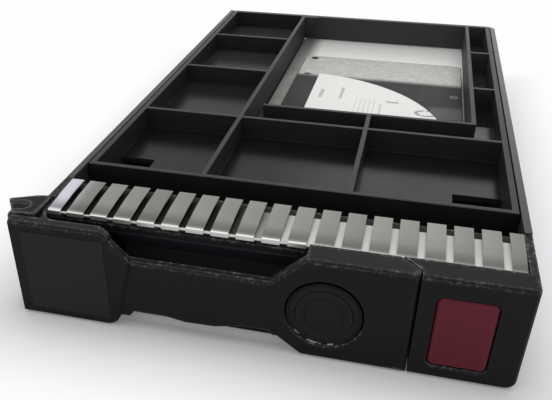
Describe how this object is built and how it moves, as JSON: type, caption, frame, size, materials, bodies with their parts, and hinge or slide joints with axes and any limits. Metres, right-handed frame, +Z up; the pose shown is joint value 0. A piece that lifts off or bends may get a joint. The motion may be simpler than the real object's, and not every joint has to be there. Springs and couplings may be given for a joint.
{
  "type": "hard disk drive in a hot-swap carrier",
  "caption": "Thin disk drive in a ribbed hot-swap tray with a row of spring fingers, a swing-out front lever, a round light ring and a release button.",
  "frame": {"origin": "bottom centre of the whole part: middle of its width and length, at the underside of the rails", "axes": "+X to the right seen from the front, +Y to the rear (the way it slides into its bay), +Z up"},
  "size_m": [0.1134, 0.1762, 0.0254],
  "materials": {
    "frame_plastic": "satin",
    "bezel_plastic": "fine texture",
    "lever_plastic": "fine texture",
    "trim_plastic": "satin",
    "button_plastic": "satin, tinted maroon",
    "latch_plastic": "satin",
    "disc_plastic": "satin",
    "pad_film": "matt",
    "lens_plastic": "smoked, satin",
    "clear_plastic": "frosted",
    "rail_metal": "satin",
    "spring_metal": "satin",
    "wire_metal": "bright",
    "screw_metal": "bright",
    "drive_casting": "cast, bead blasted",
    "cover_metal": "satin",
    "gasket_rubber": "matt",
    "label_paper": "coated",
    "strip_paper": "coated",
    "core_metal": "nickel plated",
    "magnet_plate": "plated",
    "copper_wire": "enamelled",
    "machined_metal": "machined",
    "disc_mirror": "polished",
    "slider_ceramic": "polished",
    "white_plastic": "satin",
    "flex_film": "polyimide film",
    "board_laminate": "solder mask",
    "chip_resin": "moulded",
    "plug_plastic": "satin",
    "gold_plate": "plated"
  },
  "bodies": {
    "carrier": {"left_rail": "rail_metal", "right_rail": "rail_metal", "converter_frame": "frame_plastic", "bezel_body": "bezel_plastic", "emi_fingers": "spring_metal", "pivot_pin": "screw_metal", "lever_spring": "wire_metal", "light_pipe": "clear_plastic", "led_board": "board_laminate", "status_leds": "lens_plastic", "latch_guide": "bezel_plastic", "button_spring": "wire_metal", "latch_spring": "wire_metal", "status_flex": "flex_film", "flex_contacts": "gold_plate", "rail_screws": "screw_metal", "drive_screws": "screw_metal", "drive_base": "drive_casting", "drive_cover": "cover_metal", "cover_gasket": "gasket_rubber", "cover_screws": "screw_metal", "drive_label": "label_paper", "strip_label": "strip_paper", "stator_core": "core_metal", "stator_coils": "copper_wire", "spindle_shaft": "screw_metal", "pivot_post": "screw_metal", "lower_yoke": "core_metal", "upper_yoke": "core_metal", "lower_magnet": "magnet_plate", "upper_magnet": "magnet_plate", "load_ramp": "white_plastic", "head_flex": "flex_film", "flex_connector": "white_plastic", "circuit_board": "board_laminate", "board_screws": "screw_metal", "controller_chip": "chip_resin", "memory_chip": "chip_resin", "driver_chip": "chip_resin", "drive_plug": "plug_plastic", "plug_contacts": "gold_plate"},
    "lever": {"swing_lever": "lever_plastic", "lever_end_trim": "trim_plastic", "lever_label": "pad_film", "status_ring": "lens_plastic", "status_disc": "disc_plastic"},
    "release": {"release_button": "button_plastic"},
    "latch": {"latch_slide": "latch_plastic"},
    "disc_pack": {"spindle_hub": "machined_metal", "lower_disc": "disc_mirror", "upper_disc": "disc_mirror", "disc_spacer": "machined_metal", "disc_clamp": "machined_metal", "clamp_screws": "screw_metal", "rotor_magnet": "magnet_plate"},
    "head_arm": {"actuator_block": "machined_metal", "pivot_bearing": "machined_metal", "voice_coil": "copper_wire", "head_springs": "spring_metal", "head_sliders": "slider_ceramic"}
  },
  "joints": [
    {"name": "lever_swing", "type": "hinge", "parent": "carrier", "child": "lever", "pos_m": [-0.05275, -0.08145, 0.0127], "axis": [0, 0, -1], "range_deg": [0, 50]},
    {"name": "button_press", "type": "slide", "parent": "carrier", "child": "release", "axis": [0, 1, 0], "range_m": [0, 0.002], "stiffness_N_per_m": 400, "springref_m": -0.002, "deforming": ["button_spring"]},
    {"name": "latch_shift", "type": "slide", "parent": "carrier", "child": "latch", "axis": [1, 0, 0], "range_m": [0, 0.002], "stiffness_N_per_m": 250, "springref_m": -0.002, "deforming": ["latch_spring"]},
    {"name": "disc_spin", "type": "hinge", "parent": "carrier", "child": "disc_pack", "pos_m": [0.01665, 0.01785, 0.0086], "axis": [0, 0, 1], "continuous": true},
    {"name": "head_swing", "type": "hinge", "parent": "carrier", "child": "head_arm", "pos_m": [0.02945, 0.05085, 0.0105], "axis": [0, 0, 1], "range_deg": [0, 40]}
  ],
  "couplings": [
    {"joint": "latch_shift", "follows": "button_press", "ratio": 1}
  ]
}
